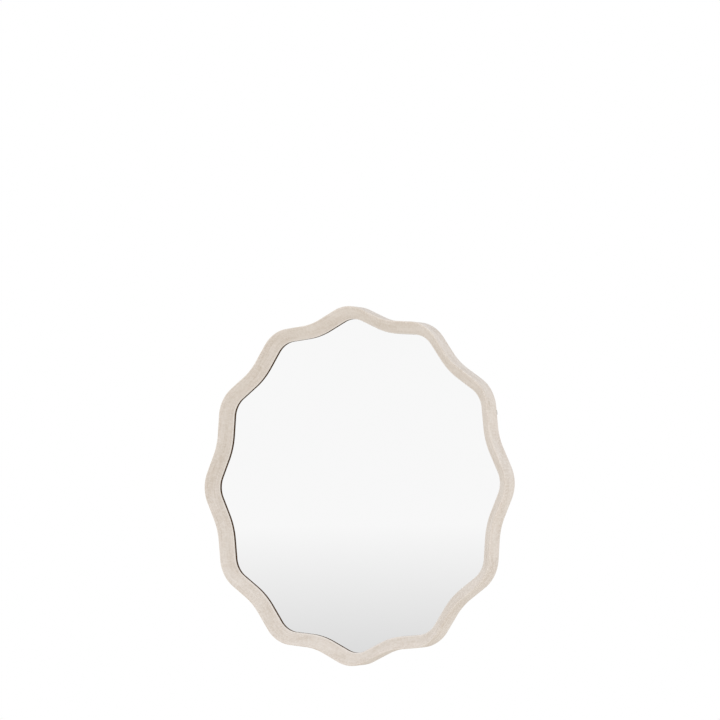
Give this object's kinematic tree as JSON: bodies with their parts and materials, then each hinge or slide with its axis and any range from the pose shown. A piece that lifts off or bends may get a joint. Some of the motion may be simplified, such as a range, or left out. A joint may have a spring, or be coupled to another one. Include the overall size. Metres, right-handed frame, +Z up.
{
  "type": "wall mirror",
  "caption": "Round wall mirror in a wavy, reverse-bevel timber ring, with a clipped back board, swinging hanging rings and wall bumpers.",
  "frame": {"origin": "centre of the wall plane that the four bumpers rest against, behind the middle of the mirror", "axes": "+Y into the wall, so the mirror faces -Y; +Z up; +X to the right as seen from the front"},
  "size_m": [0.9144, 0.0526, 0.9144],
  "materials": {
    "oak": "whitewashed oak, matt",
    "beech": "plain beech dowel",
    "mirror": "silvered float glass",
    "packer": "soft packer",
    "foam": "closed-cell foam",
    "hardboard": "smooth brown hardboard",
    "clip_steel": "zinc plated",
    "screw_steel": "zinc plated",
    "hanger_steel": "zinc plated",
    "ring_steel": "nickel plated wire",
    "bumper_rubber": "soft rubber"
  },
  "bodies": {
    "root": {"frame_segment_01": "oak", "frame_segment_02": "oak", "frame_segment_03": "oak", "frame_segment_04": "oak", "frame_segment_05": "oak", "frame_segment_06": "oak", "frame_segment_07": "oak", "frame_segment_08": "oak", "frame_segment_09": "oak", "frame_segment_10": "oak", "frame_segment_11": "oak", "frame_segment_12": "oak", "joint_dowels": "beech", "mirror_glass": "mirror", "glass_packers": "packer", "foam_sheet": "foam", "backing_board": "hardboard", "retaining_clip_01": "clip_steel", "retaining_clip_02": "clip_steel", "retaining_clip_03": "clip_steel", "retaining_clip_04": "clip_steel", "retaining_clip_05": "clip_steel", "retaining_clip_06": "clip_steel", "retaining_clip_07": "clip_steel", "retaining_clip_08": "clip_steel", "retaining_clip_09": "clip_steel", "retaining_clip_10": "clip_steel", "retaining_clip_11": "clip_steel", "retaining_clip_12": "clip_steel", "clip_screws": "screw_steel", "hanger_strap_left": "hanger_steel", "hanger_strap_right": "hanger_steel", "hanger_screws": "screw_steel", "wall_bumper_top_right": "bumper_rubber", "wall_bumper_bottom_right": "bumper_rubber", "wall_bumper_bottom_left": "bumper_rubber", "wall_bumper_top_left": "bumper_rubber"},
    "ring_left": {"hanging_ring_left": "ring_steel"},
    "ring_right": {"hanging_ring_right": "ring_steel"}
  },
  "joints": [
    {"name": "ring_left_swing", "type": "hinge", "parent": "root", "child": "ring_left", "pos_m": [-0.39811, -0.00355, 0.17985], "axis": [0.9962, 0, -0.0868], "range_deg": [0, 177]},
    {"name": "ring_right_swing", "type": "hinge", "parent": "root", "child": "ring_right", "pos_m": [0.39811, -0.00355, 0.17985], "axis": [0.9962, 0, 0.0868], "range_deg": [0, 177]}
  ]
}
